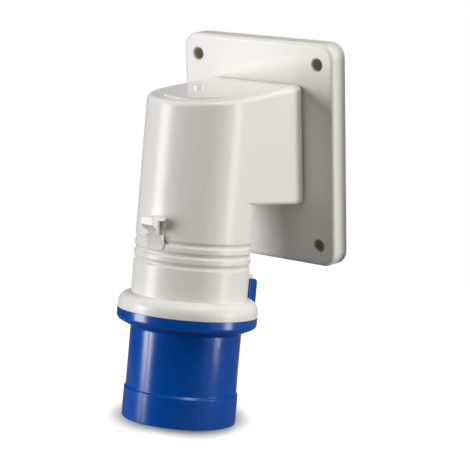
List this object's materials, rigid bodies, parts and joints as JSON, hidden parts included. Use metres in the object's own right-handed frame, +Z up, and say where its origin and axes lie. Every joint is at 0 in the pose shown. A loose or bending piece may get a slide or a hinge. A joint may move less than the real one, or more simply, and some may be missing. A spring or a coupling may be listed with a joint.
{
  "type": "angled appliance inlet",
  "caption": "Angled panel inlet: rectangular screw flange, box duct, tilted white tube with a flared collar, blue plug shroud round contact pins, and a sprung release latch.",
  "frame": {"origin": "centre of the flange's back face, on the panel, in the middle of the four screw holes", "axes": "+Z up along the panel, +Y into the panel, -Y out of the panel on the side the plug end leans to, +X to the right seen from the front"},
  "size_m": [0.075, 0.0829, 0.1469],
  "materials": {
    "housing_plastic": "moulded off-white polyamide, satin",
    "shroud_plastic": "moulded blue polyamide, satin",
    "carrier_plastic": "moulded pale grey polyamide",
    "gasket_rubber": "moulded dark rubber",
    "seal_rubber": "black rubber ring",
    "contact_brass": "nickel-plated turned brass",
    "steel_screws": "zinc-plated steel",
    "spring_steel": "stainless steel"
  },
  "bodies": {
    "inlet": {"housing": "housing_plastic", "flange_gasket": "gasket_rubber", "shroud_insert": "shroud_plastic", "insert_seal": "seal_rubber", "contact_carrier": "carrier_plastic", "carrier_cover": "carrier_plastic", "carrier_screws": "steel_screws", "cover_screw": "steel_screws", "line_pin": "contact_brass", "neutral_pin": "contact_brass", "earth_pin": "contact_brass", "line_terminal_screw": "steel_screws", "neutral_terminal_screw": "steel_screws", "earth_terminal_screw": "steel_screws", "line_wire_leaf": "spring_steel", "neutral_wire_leaf": "spring_steel", "earth_wire_leaf": "spring_steel", "latch_pin": "spring_steel", "latch_spring": "spring_steel"},
    "latch": {"release_latch": "shroud_plastic"}
  },
  "joints": [
    {"name": "latch_lift", "type": "hinge", "parent": "inlet", "child": "latch", "pos_m": [0, -0.02638, -0.04627], "axis": [1, 0, 0], "range_deg": [0, 15], "stiffness_Nm_per_rad": 0.02, "springref_deg": -17.19, "deforming": ["latch_spring"]}
  ]
}
